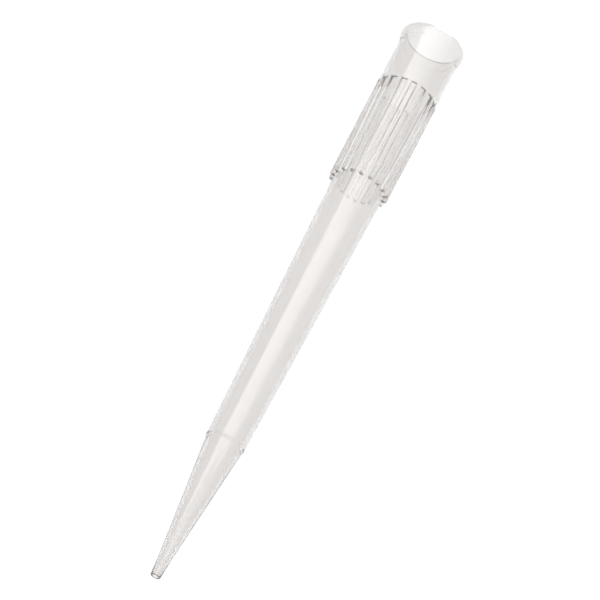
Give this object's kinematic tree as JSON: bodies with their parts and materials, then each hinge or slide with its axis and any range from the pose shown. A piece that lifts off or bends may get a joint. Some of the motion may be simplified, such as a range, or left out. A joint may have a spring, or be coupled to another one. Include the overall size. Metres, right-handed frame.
{
  "type": "pipette tip",
  "caption": "Clear one-piece pipette tip: flared lip, plain collar, ribbed grip, long tapered barrel, bead and slim cone to a small orifice.",
  "frame": {"origin": "centre of the mouth, on the plane of its rim, which the tip stands on", "axes": "+Z along the axis from the mouth to the orifice"},
  "size_m": [0.0088, 0.0088, 0.085],
  "materials": {
    "clear_polypropylene": "clear gloss, slightly milky"
  },
  "bodies": {
    "root": {"tip_moulding": "clear_polypropylene"}
  },
  "joints": []
}
